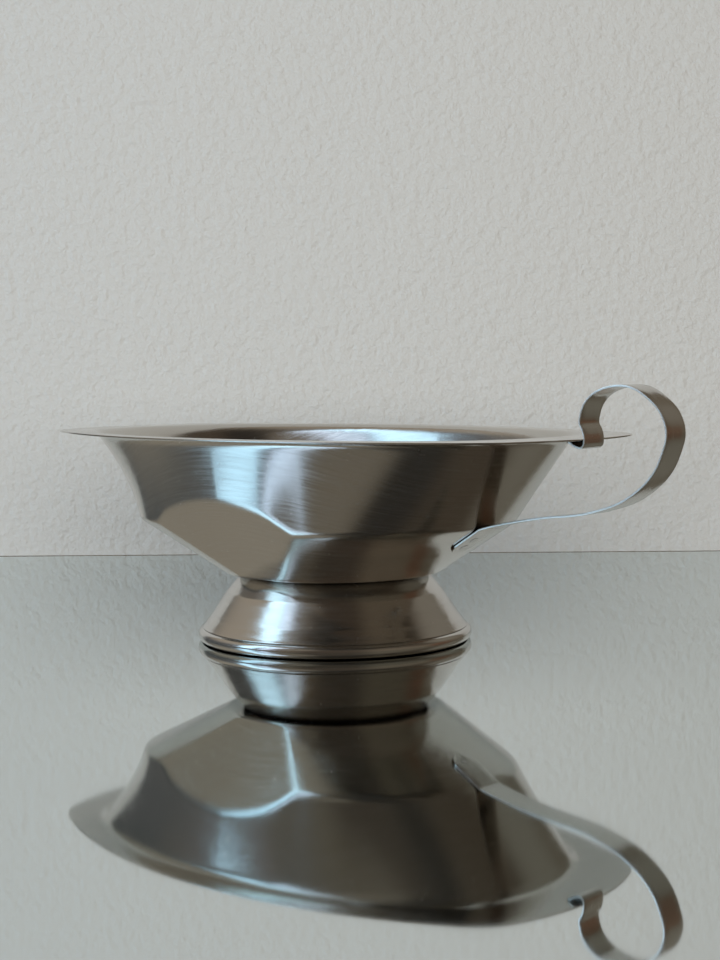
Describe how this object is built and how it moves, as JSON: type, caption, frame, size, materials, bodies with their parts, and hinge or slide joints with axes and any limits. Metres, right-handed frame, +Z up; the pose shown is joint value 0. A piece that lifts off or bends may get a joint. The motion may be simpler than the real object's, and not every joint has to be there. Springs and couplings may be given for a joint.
{
  "type": "footed pouring boat",
  "caption": "Footed steel boat for melting and pouring wax: faceted oval bowl, wide flat rim, spun foot and a bent strap handle.",
  "frame": {"origin": "centre of the foot's ring, on the plane that it rests on", "axes": "+Z up out of the bowl, +X toward the handle, +Y across the bowl"},
  "size_m": [0.2414, 0.133, 0.086],
  "materials": {
    "bowl_steel": "satin stainless with fine lines that run around the bowl",
    "foot_steel": "spun stainless with fine turning lines and a brighter rolled bead",
    "handle_steel": "satin stainless strip with bright cut edges",
    "weld_marks": "faint round electrode marks"
  },
  "bodies": {
    "root": {"bowl": "bowl_steel", "foot": "foot_steel", "handle": "handle_steel", "handle_welds": "weld_marks", "foot_welds": "weld_marks"}
  },
  "joints": []
}
